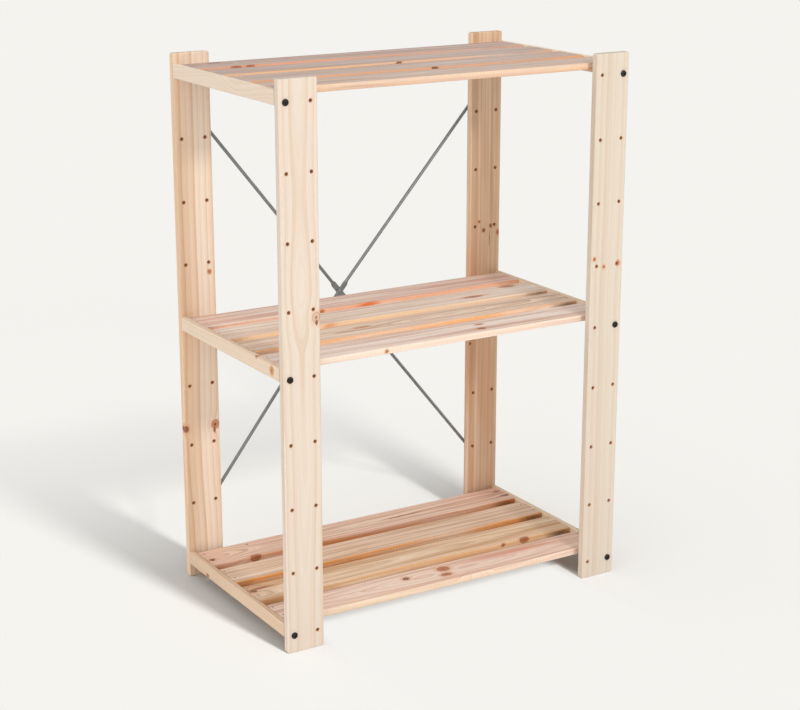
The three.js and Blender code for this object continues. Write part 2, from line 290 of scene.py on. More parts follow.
def makePaleFloor(settings):
    # evened out to the background colour, so that only the shadow shows
    place, way = Vector(settings["lampPlace"]), lampWay(settings)
    pale = Finish("paleFloor")
    seen = pale.seen()
    toLamp = pale.vector("SUBTRACT", tuple(place), pale.places())
    reach = pale.vector("DOT_PRODUCT", toLamp, toLamp, out="Value")
    facing = pale.vector("DOT_PRODUCT", toLamp, tuple(-way), out="Value").high(0.0)
    power = settings["lampPower"] + settings["floorPower"]
    lit = facing / (reach * reach) * (power / math.pi ** 2 * place.z) + settings["floorSky"]
    shares = {k: settings["background"][k] / lit for k in range(3)}
    evened = pale.node("ShaderNodeCombineColor", None, shares)
    shade = settings["floorShade"]
    paint = pale.mix((shade, shade, shade, 1), evened, seen)
    matt = pale.node("ShaderNodeBsdfDiffuse", None, {"Color": paint})

    # the shadow fades away from the rack and under its front edge
    spread = pale.node("ShaderNodeSeparateXYZ", None, {0: pale.places()}).socket.node.outputs
    across, along = Wire(spread[0]), Wire(spread[1])
    width, depth = settings["footprint"]
    aside, behind = (abs(across) - width).high(0.0), (abs(along) - depth).high(0.0)
    away = (aside * aside + behind * behind) ** 0.5
    kept = away.maths("EXPONENT", away * (-1 / settings["shadowReach"]))
    front = 1 - pale.smooth(along, *settings["frontFade"])
    front = front * (1 - pale.smooth(abs(across), *settings["frontEnds"]))
    faded = 1 - kept * (1 - front)
    glow = pale.node("ShaderNodeEmission", None, {"Color": settings["background"], "Strength": 1.0})
    matt = pale.node("ShaderNodeMixShader", None, {0: faded * seen, 1: matt, 2: glow})
    under = pale.node("ShaderNodeNewGeometry", out="Backfacing")
    clear = pale.node("ShaderNodeBsdfTransparent")
    oneSided = pale.node("ShaderNodeMixShader", None, {0: under, 1: matt, 2: clear})
    pale.node("ShaderNodeOutputMaterial", None, {"Surface": oneSided})
    pale.holder.cycles.emission_sampling = "NONE"  # the glow is only seen, it lights nothing
    return pale.holder


def setStudio(settings):
    setLamp(settings, "keyLamp", settings["lampPower"])
    floorLamp = setLamp(settings, "floorLamp", settings["floorPower"])
    setSky(settings)
    bpy.ops.mesh.primitive_plane_add(size=settings["floorSize"], location=(0, 0, 0))
    floor = bpy.context.object
    floor.name = "floor"
    floor.data.materials.append(makePaleFloor(settings))
    onlyFloor = bpy.data.collections.new("onlyFloor")
    onlyFloor.objects.link(floor)
    floorLamp.light_linking.receiver_collection = onlyFloor
    print("studio set")


setStudio(studioSettings)

# modelling helpers


def deselectAll():
    if bpy.context.mode != "OBJECT":
        bpy.ops.object.mode_set(mode="OBJECT")
    bpy.ops.object.select_all(action="DESELECT")


def takeUp(piece):
    deselectAll()
    piece.select_set(True)
    bpy.context.view_layer.objects.active = piece


def applyPlace():
    bpy.ops.object.transform_apply(location=True, rotation=True, scale=True)


def inMetres(settings):
    # lengths are floats in millimetres, and counts are whole numbers
    return {key: value * mm if isinstance(value, float) else value for key, value in settings.items()}


def startBlock(low, high):
    deselectAll()
    middle = [(a + b) / 2 for a, b in zip(low, high)]
    size = [b - a for a, b in zip(low, high)]
    bpy.ops.mesh.primitive_cube_add(size=1, location=middle, scale=size)
    applyPlace()
    return bpy.context.object


turns = {"x": (0, math.pi / 2, 0), "y": (-math.pi / 2, 0, 0), "z": (0, 0, 0)}  # +Z to the named axis


def startRound(radius, start, length, axis, sides=32):
    deselectAll()
    along = {"x": Vector((1, 0, 0)), "y": Vector((0, 1, 0)), "z": Vector((0, 0, 1))}[axis]
    middle = Vector(start) + along * length / 2
    bpy.ops.mesh.primitive_cylinder_add(vertices=sides, radius=radius, depth=abs(length), location=middle,
                                        rotation=turns[axis])
    applyPlace()
    return bpy.context.object


def editMode():
    bpy.ops.object.mode_set(mode="EDIT")


def objectMode():
    bpy.ops.object.mode_set(mode="OBJECT")


def discard(piece):
    bpy.data.objects.remove(piece, do_unlink=True)


def pick(kind, test):
    bpy.ops.mesh.select_mode(type=kind)
    bpy.ops.mesh.select_all(action="DESELECT")
    data = bpy.context.object.data
    cage = bmesh.from_edit_mesh(data)
    parts = {"VERT": cage.verts, "EDGE": cage.edges, "FACE": cage.faces}[kind]
    for part in parts:
        if test(part):
            part.select_set(True)
    cage.select_flush_mode()
    bmesh.update_edit_mesh(data)


def bevel(width, steps):
    bpy.ops.mesh.bevel(offset=width, offset_type="OFFSET", segments=steps, affect="EDGES")


def near(first, second):
    return abs(first - second) < 1e-5


def runsAlong(edge, axis):
    span = edge.verts[1].co - edge.verts[0].co
    return abs(span[axis]) > 0.999 * span.length


def liesAt(edge, axis, level):
    return all(near(v.co[axis], level) for v in edge.verts)


def capAt(axis, level):
    return lambda face: abs(face.normal[axis]) > 0.9 and near(face.calc_center_median()[axis], level)


def growCap(centre, way, radius, steps):
    # the picked cap is extruded along its axis, step by step, to each new radius
    centre = Vector(centre)
    for newRadius, travel in steps:
        bpy.ops.mesh.extrude_region_move(TRANSFORM_OT_translate={"value": way * travel})
        centre = centre + way * travel
        size = newRadius / radius
        bpy.ops.transform.resize(value=(size, size, size), center_override=centre)
        radius = newRadius


def domeSteps(rimRadius, crownRadius, height, count):
    # radius and rise of each ring from the rim of a dome to its crown
    rings = []
    before = 0.0
    for step in range(1, count + 1):
        angle = step / count * math.pi / 2
        level = height * math.sin(angle)
        rings.append((crownRadius + (rimRadius - crownRadius) * math.cos(angle), level - before))
        before = level
    return rings


def copyPiece(source, matrix=None):
    twin = source.copy()
    twin.data = source.data.copy()
    scene.collection.objects.link(twin)
    if matrix:
        twin.data.transform(matrix)
    return twin


def joinAll(pieces):
    takeUp(pieces[0])
    for piece in pieces[1:]:
        piece.select_set(True)
    if len(pieces) > 1:
        bpy.ops.object.join()
    return bpy.context.object


def carve(piece, cutter):
    takeUp(piece)
    cut = piece.modifiers.new("cut", "BOOLEAN")
    cut.operation = "DIFFERENCE"
    cut.solver = "EXACT"
    cut.object = cutter
    bpy.ops.object.modifier_apply(modifier="cut")
    discard(cutter)


def smoothOver(piece, angle=35):
    takeUp(piece)
    bpy.ops.object.shade_smooth_by_angle(angle=math.radians(angle))
    facing = piece.modifiers.new("facing", "WEIGHTED_NORMAL")
    facing.keep_sharp = True
    bpy.ops.object.modifier_apply(modifier="facing")


def nodesNamed(start):
    return sorted(node for node in nodes if node.startswith(start))


def handOver(piece, name, material, node=None):
    piece.name = name
    piece.data.name = name
    piece.data.materials.clear()
    piece.data.materials.append(material)
    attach(piece, "root")
    if node:
        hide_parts(node)


# pine: rings about a pith line that lies some way below the board's face, bent aside by knots

rampTop = 100.0  # millimetres of pith depth at the top of its ramp
pineSettings = {
    "ringProfile": [(0.0, 0.0), (0.40, 0.10), (0.80, 0.75), (0.93, 1.0), (1.0, 0.0)],
    "fineRings": 3.7, "fineShare": 0.22,
    "ringDrift": 0.55,  # how far the rings wander, in rings
    "ringBold": (0.35, 0.65),  # the palest ring and the spread above it
    "unevenPitch": 52.0,  # how fast the rings' spacing changes, per metre
    "wander": (1.7, 7.0, 7.0), "swayAlong": (3.1, 0.0, 0.0),
    "shake": (110, 240, 240), "shakeReach": (0.009, 0.005, 0.005),  # ragged outlines
    # patches: how often they come along, across and through the board, and where they start and end
    "fibre": (14.0, 950.0, 950.0),
    "dash": (38.0, 620.0, 620.0), "dashRange": (0.62, 0.78),
    "blotch": (2.6, 21.0, 21.0), "blotchRange": (0.40, 0.72),
    "band": (2.1, 92.0, 92.0), "bandRange": (0.46, 0.68),
    "line": (5.5, 260.0, 260.0), "lineRange": (0.52, 0.72), "lineShare": 0.8,
    "edge": (4.0, 30.0, 90.0), "edgeRange": (0.28, 0.60),
    # metres in from a board's edge or end, and metres up its edge over which the painted shade on the edge
    # fades
    "edgeSpan": (0.0035, 0.0005), "edgeShadeDrop": (-0.007, 0.004), "deepShare": 0.7,
    "endSpan": (0.0012, 0.0002),
    "fibreTint": 0.16, "dashTint": 0.10, "endTint": 0.14,
    "rough": 0.60, "fibreRough": 0.12, "ringRough": 0.06, "knotGloss": 0.16, "specular": 0.32,
    "bump": 0.35, "bumpHeight": 0.0004,
    "fibreRelief": 0.5, "ringRelief": 0.35, "dashRelief": 0.4, "knotRelief": 0.5,
    # knots and streaks, in their own radii
    "knotHeart": (0.72, 1.04), "knotPith": (0.1, 0.65), "knotRim": (0.70, 0.95, 1.20),
    "knotRings": 17.0, "knotRingTint": 0.18, "haloStart": 0.8, "streakFade": (0.2, 1.0),
    "deadKnot": tone("5C2208"), "knotHalo": tone("D9935F"),
    "planerPitch": 0.0037, "planerRelief": 0.35, "planerTint": 0.09,
    # metres from a hole's middle
    "holeWall": (0.0034, 0.0042), "wallShare": 0.9, "holeShade": tone("CB9468"),
    "holeBruise": (0.0036, 0.0062), "bruiseShare": 0.28,
}
lengthways = {
    "post": Matrix(((0, 0, 1), (1, 0, 0), (0, 1, 0))),  # up the post, across it, through it
    "rail": Matrix(((0, 1, 0), (-1, 0, 0), (0, 0, 1))),
    "slat": Matrix(((1, 0, 0), (0, 1, 0), (0, 0, 1))),
}


def spot(at, size, shade="B9774B", **more):
    # a knot or a streak: place and radii along, across and through the board
    return {"at": at, "size": size, "shade": shade, **more}


def patches(pine, name, places, seed, detail, rough=0.5):
    cloud = pine.noise(places, pineSettings[name], seed, detail, rough)
    return pine.smooth(cloud, *pineSettings[name + "Range"])


def inFrom(pine, value, edge, span):
    # 0 inside the board, 1 at its edge
    return pine.smooth(abs(value), *(edge - inset for inset in span))


def growRings(pine, board, board3d, axes, half, swirl):
    # rings are counted outwards from the pith, and each ends in a dark line of late wood
    shared, seed = pineSettings, board["seed"]
    along, across, through = axes
    wander = pine.noise(board3d, shared["wander"], seed, 2.0)
    sway = pine.noise(board3d, shared["swayAlong"], seed + 7.7, 1.0)
    pith = [(place, deep / rampTop) for place, deep in board["pithDepth"]]
    depth = pine.ramp(along / (2 * half.x) + 0.5, pith) * (rampTop * mm)
    sideways = across - board.get("pithAcross", 0.0) * mm - (sway - 0.5) * (board.get("sway", 6.0) * mm)
    sideways = sideways - along * board.get("lean", 0.0)
    down = depth - through
    radius = (sideways * sideways + down * down) ** 0.5
    if swirl:
        radius = radius + swirl
    uneven = pine.node("ShaderNodeTexNoise", {"noise_dimensions": "1D"},
                       {"W": radius * shared["unevenPitch"] + seed, "Scale": 1.0, "Detail": 1.0})
    drift = shared["ringDrift"] * board.get("drift", 1.0)
    count = radius / (board["ring"] * mm) + (uneven - 0.5) * board.get("uneven", 1.2)
    count = count + (wander - 0.5) * drift + board.get("shift", 0.0)
    within = count.maths("FRACT", count)
    whole = count.maths("FLOOR", count)
    bold = pine.node("ShaderNodeTexWhiteNoise", {"noise_dimensions": "1D"}, {"W": whole + seed * 3.0})
    palest, spread = shared["ringBold"]
    late = pine.ramp(within, shared["ringProfile"]) * (bold * spread + palest)
    fineCount = count * shared["fineRings"]
    fine = pine.ramp(fineCount.maths("FRACT", fineCount), shared["ringProfile"])
    return late, late * (1 - shared["fineShare"]) + fine * shared["fineShare"]


def paintEdges(pine, colour, board, board3d, axes, half):
    # warmer edges, with painted shade: darker and more orange lower down, as in the gaps between slats
    shared = pineSettings
    across, through = axes[1:]
    mask = inFrom(pine, across, half.y, shared["edgeSpan"])
    wave = patches(pine, "edge", board3d, board["seed"] + 8.8, 3.0)
    lower = 1 - pine.smooth(through, *shared["edgeShadeDrop"])
    edgeAndShade = pine.mix(board["edge"], board["deep"], lower * shared["deepShare"])
    return pine.mix(colour, edgeAndShade, mask * wave * board["edgeShare"])


def paintKnots(pine, colour, knots):
    # a halo, a ringed heart and a dark rim for each; also says where the hearts are
    shared = pineSettings
    inner, middle, outer = shared["knotRim"]
    core = None
    for knot, reach in knots:
        halo = 1 - pine.smooth(reach, shared["haloStart"], knot.get("halo", 2.0))
        colour = pine.mix(colour, shared["knotHalo"], halo * knot.get("haloShare", 0.6))
        turned = reach * shared["knotRings"]
        turnsIn = turned.maths("SINE", turned) * shared["knotRingTint"] + (1 - shared["knotRingTint"])
        heart = (1 - pine.smooth(reach, *shared["knotHeart"])) * knot.get("share", 0.9)
        outwards = pine.smooth(reach, *shared["knotPith"])
        heartTone = pine.mix(shared["deadKnot"], tone(knot["shade"]), outwards)
        colour = pine.mix(colour, heartTone, heart * turnsIn)
        rim = pine.smooth(reach, inner, middle) * (1 - pine.smooth(reach, middle, outer))
        colour = pine.mix(colour, shared["deadKnot"], rim * knot.get("rim", 0.35))
        core = heart if core is None else core.high(heart)
    return colour, core


def paintHoles(pine, colour, board, axes, half):
    # darker, polished walls where the holes were drilled
    shared, pitch = pineSettings, holeSettings["pitch"] * mm
    along, across = axes[:2]
    up = along + half.x - holeSettings["lowest"] * mm
    row = up.maths("WRAP", up, pitch / 2, -pitch / 2)
    column = abs(across) - holeSettings["spacing"] * mm / 2
    toHole = (row * row + column * column) ** 0.5
    wall = 1 - pine.smooth(toHole, *shared["holeWall"])
    bruise = 1 - pine.smooth(toHole, *shared["holeBruise"])
    colour = pine.mix(colour, board["late"], bruise * shared["bruiseShare"])
    return pine.mix(colour, shared["holeShade"], wall * shared["wallShare"])


def makePine(name, kind, node, board):
    shared = pineSettings
    board = {key: tone(value) if isinstance(value, str) else value for key, value in board.items()}
    low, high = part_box(node)
    turn = lengthways[kind]
    half = (turn @ (high - low)) / 2
    half = Vector(abs(c) for c in half)
    seed = board["seed"]
    pine = Finish(name)
    board3d = pine.node("ShaderNodeMapping", {"vector_type": "POINT"}, {
        "Vector": pine.places(), "Rotation": turn.to_euler(), "Location": -(turn @ ((low + high) / 2))})
    parts = pine.node("ShaderNodeSeparateXYZ", None, {0: board3d}).socket.node.outputs
    axes = [Wire(parts[k]) for k in range(3)]  # along, across and through the board
    along, across = axes[:2]

    # knots first: how far each point is from every knot, in knot radii
    shake = pine.noise(board3d, shared["shake"], seed + 3.1, 3.0, 0.6, out="Color")
    shaken = pine.vector("SUBTRACT", shake, (0.5, 0.5, 0.5))
    shaken = pine.vector("MULTIPLY", shaken, shared["shakeReach"])
    ragged = pine.vector("ADD", board3d, shaken)
    swirl = None
    knots = []
    for knot in board.get("knots", []):
        reach = pine.reach(ragged, knot)
        spread = knot.get("spread", 2.2)
        push = reach.maths("EXPONENT", reach * reach * (-1.0 / spread ** 2)) * (knot.get("push", 5.0) * mm)
        swirl = push if swirl is None else swirl + push
        knots.append((knot, reach))
    late, grain = growRings(pine, board, board3d, axes, half, swirl)

    # fibres, short resin dashes and broad patches
    fibre = pine.noise(ragged, shared["fibre"], seed + 1.3, 3.0, 0.6)
    dash = patches(pine, "dash", ragged, seed + 2.2, 2.0)
    blotch = patches(pine, "blotch", board3d, seed + 4.6, 3.0)
    colour = pine.mix(board["early"], board["late"], grain * board.get("contrast", 1.0))
    colour = pine.mix(colour, board["blush"], blotch * board.get("blushShare", 0.4))
    if "bandShare" in board:
        band = patches(pine, "band", board3d, seed + 5.9, 3.0, 0.55)
        line = patches(pine, "line", board3d, seed + 6.7, 2.0)
        colour = pine.mix(colour, board["late"], band * board["bandShare"])
        colour = pine.mix(colour, board["late"], line * (board["bandShare"] * shared["lineShare"]))
    if "edge" in board:
        colour = paintEdges(pine, colour, board, board3d, axes, half)
    for streak in board.get("streaks", []):
        band = 1 - pine.smooth(pine.reach(ragged, streak), *shared["streakFade"])
        colour = pine.mix(colour, tone(streak["shade"]), band * streak.get("share", 0.7))
    colour, core = paintKnots(pine, colour, knots)
    tint = fibre * shared["fibreTint"] + (1 - shared["fibreTint"] / 2) - dash * shared["dashTint"]
    tint = tint - inFrom(pine, along, half.x, shared["endSpan"]) * shared["endTint"]
    colour = pine.mix(colour, pine.grey(tint), 1.0, "MULTIPLY")
    relief = fibre * shared["fibreRelief"] - late * shared["ringRelief"] - dash * shared["dashRelief"]
    rough = shared["rough"] + fibre * shared["fibreRough"] - late * shared["ringRough"]
    if core:
        rough = rough - core * shared["knotGloss"]
        relief = relief + core * shared["knotRelief"]
    if kind == "post":
        colour = paintHoles(pine, colour, board, axes, half)
    if kind == "slat":
        # planer marks along the edges
        phase = along * (2 * math.pi / shared["planerPitch"])
        ripple = phase.maths("SINE", phase) * inFrom(pine, across, half.y, shared["endSpan"])
        relief = relief + ripple * shared["planerRelief"]
        lift = ripple * shared["planerTint"] + 1.0
        colour = pine.mix(colour, pine.grey(lift), 1.0, "MULTIPLY")
    bump = pine.node("ShaderNodeBump", None,
                     {"Strength": shared["bump"], "Distance": shared["bumpHeight"], "Height": relief})
    return pine.surface({"Base Color": colour, "Roughness": rough, "Normal": bump,
                         "Specular IOR Level": shared["specular"]})


# metals

wearRange = (0.50, 0.72)
wornRough = 0.08
metalBump = 0.0001


def makeMetal(name, settings):
    metal = Finish(name)
    places = metal.places()
    grain = metal.noise(places, [settings["grain"]] * 3, settings["seed"], 3.0, 0.6)
    wear = metal.noise(places, [settings["wear"]] * 3, settings["seed"] + 2.0, 3.0)
    worn = metal.smooth(wear, *wearRange)
    colour = metal.mix(tone(settings["shade"]), tone(settings["worn"]), worn * settings["wornShare"])
    tint = grain * settings["tint"] + (1 - settings["tint"] / 2)
    colour = metal.mix(colour, metal.grey(tint), 1.0, "MULTIPLY")
    rough = grain * settings["roughSpread"] + settings["rough"] + worn * wornRough
    bump = metal.node("ShaderNodeBump", None,
                      {"Strength": settings["bump"], "Distance": metalBump, "Height": grain})
    return metal.surface({"Base Color": colour, "Roughness": rough, "Metallic": settings["metal"],
                          "Normal": bump})


metalSettings = {
    "rodSteel": {
        "shade": "858889", "worn": "9A9D9D", "wornShare": 0.4, "grain": 300, "wear": 60,
        "seed": 1.0, "rough": 0.42, "roughSpread": 0.06, "metal": 0.6, "bump": 0.02, "tint": 0.06,
    },
    "blackOxide": {
        "shade": "211E1B", "worn": "4A443C", "wornShare": 0.6, "grain": 1400, "wear": 260,
        "seed": 2.0, "rough": 0.26, "roughSpread": 0.2, "metal": 0.55, "bump": 0.2, "tint": 0.3,
    },
    "zincPlate": {
        "shade": "B4B8B8", "worn": "C9CCC8", "wornShare": 0.5, "grain": 800, "wear": 120,
        "seed": 3.0, "rough": 0.26, "roughSpread": 0.2, "metal": 0.95, "bump": 0.2, "tint": 0.3,
    },
    "bradSteel": {
        "shade": "4A423C", "worn": "2E2621", "wornShare": 0.6, "grain": 900, "wear": 400,
        "seed": 4.0, "rough": 0.38, "roughSpread": 0.2, "metal": 0.8, "bump": 0.2, "tint": 0.3,
    },
}
metals = {name: makeMetal(name, settings) for name, settings in metalSettings.items()}
print("metals made:", len(metals))

# posts: eased boards drilled with two columns of holes

holeSettings = {"lowest": 36, "pitch": 128, "spacing": 51, "rows": 9, "radius": 3.5, "flare": 0.35}
dark, red = "4E2413", "A9522D"
postBoards = {
    # the front posts are toned darker than the rear ones: painted shade that evens out the stronger key
    # light on them
    "front_left": {
        "seed": 1.0, "early": "E1D3C2", "late": "CFAA84", "blush": "E2CCBC", "blushShare": 0.35,
        "ring": 10.0, "shift": 0.93, "sway": 9.0, "drift": 0.4, "contrast": 0.66, "uneven": 0.0,
        "pithDepth": [(0.05, 26.5), (0.37, 22.5), (0.535, 22.0), (0.595, 16.5), (0.645, 13.0), (0.80, 19.0),
                      (0.98, 15.2)],
        "knots": [
            spot((109, 31, -8), (10, 7, 60), "E0B79A", halo=2.6, haloShare=0.25, push=6.0, share=0.8),
            spot((99, 31.5, -8), (4.6, 2.6, 30), dark, rim=0.6, halo=1.8, haloShare=0.3, push=1.0),
        ],
    },
    "front_right": {
        "seed": 2.0, "early": "DACDBB", "late": "C4A482", "blush": "DCC3B3", "blushShare": 0.3,
        "ring": 15.0, "pithAcross": 96.0, "sway": 12.0, "contrast": 0.55,
        "pithDepth": [(0.0, 40.0), (0.3, 44.0), (0.6, 40.0), (1.0, 46.0)],
        "knots": [
            spot((140.6, -31.7, -8), (3.4, 3.0, 40), red, halo=2.4, push=4.0),
            spot((122.3, -8, -8), (3.6, 3.2, 40), red, halo=2.6, push=4.0),
            spot((126.2, 27.2, -8), (5.4, 5.0, 40), "B06A48", push=4.0),
        ],
    },
    "rear_left": {
        "seed": 3.0, "early": "F4E3CF", "late": "CF9A66", "blush": "EBC6A2", "blushShare": 0.35,
        "ring": 12.6, "pithAcross": -130.0, "sway": 10.0, "contrast": 0.85,
        "pithDepth": [(0.0, 30.0), (0.3, 45.0), (0.6, 40.0), (1.0, 35.0)],
        "knots": [
            spot((105.3, 25.9, -8), (5.2, 4.0, 30), "BF7442", halo=1.8, push=3.0),
            spot((-222.4, 29.1, -8), (9.0, 8.0, 40), "D28A60", halo=1.7, push=9.0, rim=0.5),
            spot((-223.5, 29.5, -8), (4.0, 3.4, 40), "A4532F", push=0.0, haloShare=0.0, rim=0.3),
            spot((-234, 27.5, -8), (7.0, 2.6, 30), "9A4B30", halo=1.8, push=1.0),
            spot((-223, -37, -8), (6.5, 5.0, 14), "7A3518", halo=2.6, push=9.0, rim=0.8),
        ],
        # painted shade: a warmer, darker band down the left side, where the front post's shadow falls
        "streaks": [spot((0, -36, 0), (1100, 46, 60), "E3B17E", share=0.42)],
    },
    "rear_right": {
        "seed": 4.0, "early": "EACEAF", "late": "B27848", "blush": "CC956E", "blushShare": 0.55,
        "bandShare": 0.2, "ring": 14.0, "pithAcross": 160.0, "sway": 8.0, "contrast": 0.7,
        "pithDepth": [(0.0, 30.0), (0.5, 36.0), (1.0, 30.0)],
        "knots": [
            spot((135.8, -14.9, -8), (3.0, 2.8, 30), red, push=3.0),
            spot((115.1, -2.7, -8), (4.4, 3.8, 30), dark, push=4.0, rim=0.7),
            spot((123.4, 15.7, -8), (4.2, 3.6, 30), dark, halo=1.8, push=4.0, rim=0.7),
            spot((106.2, 35.1, -8), (6.0, 4.0, 30), red, push=3.0),
            spot((-141.4, -35, -8), (4.0, 3.0, 20), dark, halo=1.8, push=2.0),
        ],
        "streaks": [spot((95, 12.5, -8), (32, 2.0, 20), dark, share=0.6)],
    },
}

postSettings = {
    "corner": 4.0, "easing": 2.5, "steps": 4,
    "screwRadius": 2.4, "screwDepth": 12.3, "screwPoint": (0.4, 1.2),  # the point's radius and length
    "screwHeights": {"rear_left": (996, 127), "rear_right": (981, 128)},
}


def makeHoleCutter(columns, heights, radius, flare, front, back):
    # a straight drill with a little flare at each face
    first = startRound(radius, (columns[0], front + flare, heights[0]), back - front - 2 * flare, "y")
    editMode()
    for level, way in ((front + flare, Vector((0, -1, 0))), (back - flare, Vector((0, 1, 0)))):
        pick("FACE", capAt(1, level))
        wide = radius + flare
        growCap((columns[0], level, heights[0]), way, radius, [(wide, flare), (wide + splay, overshoot)])
    objectMode()
    drills = [first]
    for x in columns:
        for z in heights:
            if (x, z) != (columns[0], heights[0]):
                drills.append(copyPiece(first, Matrix.Translation((x - columns[0], 0, z - heights[0]))))
    return joinAll(drills)


def makePosts():
    settings = postSettings
    low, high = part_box("post_front_left")
    plain = startBlock(low, high)
    editMode()
    pick("EDGE", lambda e: runsAlong(e, 1))
    bevel(settings["corner"] * mm, settings["steps"])
    pick("EDGE", lambda e: liesAt(e, 1, low.y) or liesAt(e, 1, high.y))
    bevel(settings["easing"] * mm, settings["steps"])
    objectMode()
    middle = (low.x + high.x) / 2
    reach = holeSettings["spacing"] * mm / 2
    rows = range(holeSettings["rows"])
    heights = [mm * (holeSettings["lowest"] + row * holeSettings["pitch"]) for row in rows]
    drills = makeHoleCutter((middle - reach, middle + reach), heights, holeSettings["radius"] * mm,
                            holeSettings["flare"] * mm, low.y, high.y)
    carve(plain, drills)
    for corner, board in postBoards.items():
        node = "post_" + corner
        boxLow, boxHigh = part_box(node)
        post = copyPiece(plain, Matrix.Translation(boxLow - low))
        for height in settings["screwHeights"].get(corner, ()):
            radius = settings["screwRadius"] * mm
            floor = (boxLow.x + boxHigh.x) / 2, boxHigh.y - settings["screwDepth"] * mm, height * mm
            drill = startRound(radius, floor, (settings["screwDepth"] + 2) * mm, "y", 24)
            editMode()
            pick("FACE", capAt(1, floor[1]))
            growCap(floor, Vector((0, -1, 0)), radius, [[size * mm for size in settings["screwPoint"]]])
            objectMode()
            carve(post, drill)
        smoothOver(post)
        handOver(post, "pine_" + node, makePine("pine_" + node, "post", node, board), node)
    discard(plain)
    print("posts made:", len(postBoards))


makePosts()

# rails: rebated along the inner top edge, with pockets for the barrel nuts underneath

railSettings = {
    "lip": 11.0, "ledgeDrop": 13.8, "easing": 1.5, "endEasing": 0.5, "steps": 3,
    "boltRadius": 3.5, "boltDepth": 45.7, "boltUp": 6.5, "boltIn": 14.0,
    "pocketRadius": 5.3, "pocketDepth": 13.0, "pocketSetback": 34.0, "pocketFlare": 0.4,
}
railShared = {"early": "EFDDC2", "late": "D8AE7C", "blush": "EED2B2", "ring": 6.0, "contrast": 0.6}
railBoards = {
    "top_left": {
        **railShared, "seed": 11.0, "early": "EFDDCA", "late": "DDB68C", "ring": 7.0,
        "pithDepth": [(0.0, 30.0), (0.35, 12.0), (0.62, 40.0), (1.0, 24.0)], "sway": 14.0,
    },
    "top_right": {**railShared, "seed": 12.0, "pithDepth": [(0.0, 30.0), (1.0, 36.0)]},
    "middle_left": {
        **railShared, "seed": 13.0, "early": "EED9C2", "late": "D2A473",
        "pithDepth": [(0.0, 40.0), (1.0, 34.0)],
        "knots": [
            spot((-183.5, 10, 2), (7.0, 10, 8.0), "C68A45", halo=1.9, push=4.0, rim=0.3),
            spot((-120, 12, 14), (4.0, 5.0, 4.0), "B27A3A", halo=1.9, push=2.0),
        ],
    },
    "middle_right": {**railShared, "seed": 14.0, "pithDepth": [(0.0, 34.0), (1.0, 30.0)]},
    "bottom_left": {
        **railShared, "seed": 15.0, "early": "DFC6AC", "late": "C98F5C",
        "pithDepth": [(0.0, 34.0), (1.0, 44.0)],
        "contrast": 0.8,
        "knots": [spot((125.3, 12, -9), (6.0, 5.0, 4.0), red, push=3.0)],
    },
    "bottom_right": {**railShared, "seed": 16.0, "pithDepth": [(0.0, 40.0), (1.0, 30.0)]},
}


def makeRails():
    settings = railSettings
    low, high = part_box("rail_bottom_right")
    lipX = high.x - settings["lip"] * mm
    ledge = high.z - settings["ledgeDrop"] * mm
    plain = startBlock(low, (high.x, high.y, ledge))
    editMode()
    bpy.ops.mesh.select_all(action="SELECT")
    bpy.ops.mesh.bisect(plane_co=(lipX, 0, 0), plane_no=(1, 0, 0))
    pick("FACE", lambda f: f.normal.z > 0.9 and f.calc_center_median().x > lipX)
    bpy.ops.mesh.extrude_region_move(TRANSFORM_OT_translate={"value": (0, 0, high.z - ledge)})
    corners = [(low.x, low.z), (high.x, low.z), (high.x, high.z), (lipX, high.z), (low.x, ledge)]
    pick("EDGE", lambda e: runsAlong(e, 1) and any(
        near(e.verts[0].co.x, x) and near(e.verts[0].co.z, z) for x, z in corners))
    bevel(settings["easing"] * mm, settings["steps"])
    pick("EDGE", lambda e: liesAt(e, 1, low.y) or liesAt(e, 1, high.y))
    bevel(settings["endEasing"] * mm, 2)
    objectMode()
    boltX, boltZ = high.x - settings["boltIn"] * mm, low.z + settings["boltUp"] * mm
    depth, pocket = settings["boltDepth"] * mm, settings["pocketDepth"] * mm
    radius = settings["pocketRadius"] * mm
    wide = radius + settings["pocketFlare"] * mm
    drills = []
    for end, way in ((low.y, 1), (high.y, -1)):
        mouth = (boltX, end - way * overshoot, boltZ)
        drills.append(startRound(settings["boltRadius"] * mm, mouth, way * (depth + overshoot), "y"))
        seat = (boltX, end + way * settings["pocketSetback"] * mm, low.z)
        drill = startRound(radius, seat, pocket, "z", 40)
        editMode()
        pick("FACE", capAt(2, low.z))
        growCap(seat, Vector((0, 0, -1)), radius, [(wide, 0.0), (wide + 0.0002, overshoot)])
        objectMode()
        drills.append(drill)
    for drill in drills:
        carve(plain, drill)
    middle = (low + high) / 2
    for place, board in railBoards.items():
        node = "rail_" + place
        boxLow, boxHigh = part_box(node)
        newMiddle = (boxLow + boxHigh) / 2
        matrix = Matrix.Translation(newMiddle - middle)
        if place.endswith("left"):  # the same rail turned end for end
            turn = Matrix.Rotation(math.pi, 4, "Z")
            matrix = Matrix.Translation(newMiddle) @ turn @ Matrix.Translation(-middle)
        rail = copyPiece(plain, matrix)
        smoothOver(rail)
        handOver(rail, "pine_" + node, makePine("pine_" + node, "rail", node, board), node)
    discard(plain)
    print("rails made:", len(railBoards))


makeRails()

# slats: eased boards, dented where two brads at each end are punched below the face

slatSettings = {
    "easing": 2.0, "endEasing": 0.5, "steps": 4,
    "dentTop": 2.7, "dentFoot": 2.2, "dentDepth": 1.3, "dentStretch": (1.0, 1.35),
    "bradRows": (25.4, -17.2), "bradIn": {"left": (6.7, 9.7), "right": (9.5, 5.2)},
    "bradJitter": (1.6, 1.4),
}
bradSettings = {
    "headRadius": 2.0, "headHeight": 0.5, "shankRadius": 0.8, "length": 20.0, "point": 1.2,
    "headSteps": [(1.0, 0.2), (1.0, 0.2), (0.82, 0.1), (0.4, -0.05)],  # share of the radius, and rise
    "sunk": 1.0, "clear": 0.7,
}
slatShared = {"bandShare": 0.6, "edgeShare": 0.9}


